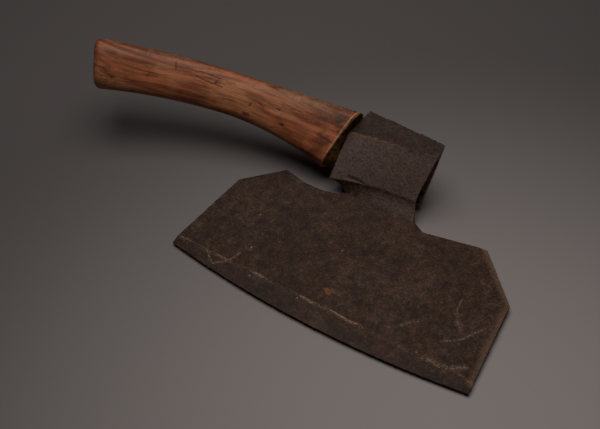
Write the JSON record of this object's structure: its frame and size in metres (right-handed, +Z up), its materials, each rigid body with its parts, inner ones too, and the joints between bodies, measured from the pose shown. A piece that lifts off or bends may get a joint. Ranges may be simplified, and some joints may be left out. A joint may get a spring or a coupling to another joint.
{
  "type": "broad axe",
  "caption": "One-handed broad axe for squaring timber: forged single-bevel blade, bent-up strap eye and curved wooden handle.",
  "frame": {"origin": "on the blade's flat back, on the blade's centre line, 80 mm up from the line of the cutting edge's corners", "axes": "+X along the cutting edge, from the handle's side to the eye's open end; +Y from the cutting edge to the poll; +Z up, away from the flat back that the axe lies on"},
  "size_m": [0.4881, 0.2246, 0.0949],
  "materials": {
    "blade_iron": "dark brown-black forged wrought iron, matte and finely pitted",
    "eye_iron": "dark grey-brown forged wrought iron, matte, heavily pitted on the poll",
    "edge_steel": "dark patinated steel, matte, with fine scratches",
    "handle_wood": "worn reddish-brown hardwood, satin from handling",
    "wedge_wood": "dark brown hardwood, dull"
  },
  "bodies": {
    "root": {"blade_body": "blade_iron", "cutting_steel": "edge_steel", "eye_strap": "eye_iron", "handle": "handle_wood", "eye_wedge": "wedge_wood"}
  },
  "joints": []
}
